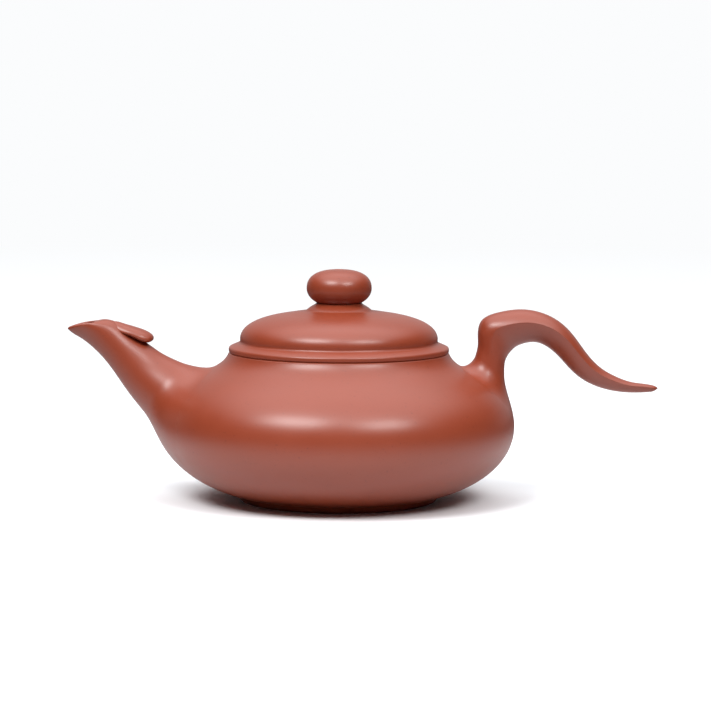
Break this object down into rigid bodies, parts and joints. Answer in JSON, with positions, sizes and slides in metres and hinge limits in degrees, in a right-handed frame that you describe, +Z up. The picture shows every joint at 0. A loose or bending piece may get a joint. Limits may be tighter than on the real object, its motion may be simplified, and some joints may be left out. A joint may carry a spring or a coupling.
{
  "type": "round clay teapot",
  "caption": "Low round unglazed clay teapot with a domed lid that lifts off, a bun-shaped knob, a crested straight spout and an open swept-back handle.",
  "frame": {"origin": "centre of the foot ring's flat face, on the table", "axes": "+Z up along the pot's turning axis, +X towards the handle's tail, -X towards the spout"},
  "size_m": [0.1844, 0.11, 0.0724],
  "materials": {
    "body_clay": "burnished unglazed red-brown stoneware",
    "lid_clay": "burnished unglazed red-brown stoneware"
  },
  "bodies": {
    "pot": {"base_plate": "body_clay", "foot_ring": "body_clay", "belly_lower": "body_clay", "belly_upper": "body_clay", "shoulder_plate": "body_clay", "neck_ring": "body_clay", "strainer": "body_clay", "spout": "body_clay", "spout_crest": "body_clay", "handle": "body_clay"},
    "lid": {"lid_plate": "lid_clay", "lid_dome": "lid_clay", "lid_skirt": "lid_clay", "knob_collar": "lid_clay", "knob": "lid_clay"}
  },
  "joints": [
    {"name": "lid_lift", "type": "slide", "parent": "pot", "child": "lid", "axis": [0, 0, 1], "range_m": [0, 0.06]}
  ]
}
